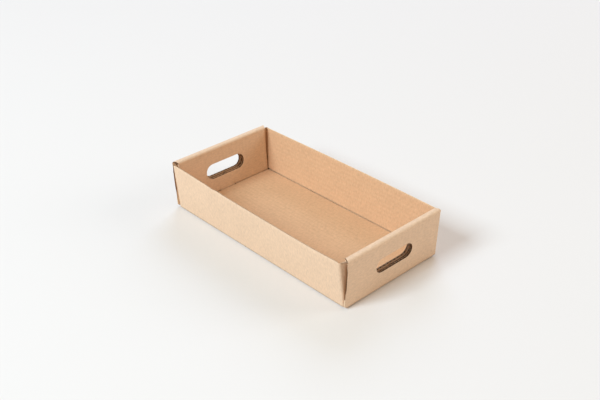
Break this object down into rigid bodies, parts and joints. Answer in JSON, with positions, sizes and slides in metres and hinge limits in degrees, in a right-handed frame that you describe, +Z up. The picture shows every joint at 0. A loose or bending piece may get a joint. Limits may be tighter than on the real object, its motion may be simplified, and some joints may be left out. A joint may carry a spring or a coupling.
{
  "type": "cardboard tray box",
  "caption": "Open tray folded from one die-cut sheet of corrugated board, with rolled-over end walls, a hand hole through each end and tabs locked into the floor.",
  "frame": {"origin": "middle of the underside, on the surface that the tray stands on", "axes": "+X along the length towards one rolled-over end, +Y across the width, +Z up"},
  "size_m": [0.4114, 0.2169, 0.086],
  "materials": {
    "board": "uncoated brown kraft paper, matt"
  },
  "bodies": {
    "root": {"tray": "board"}
  },
  "joints": []
}
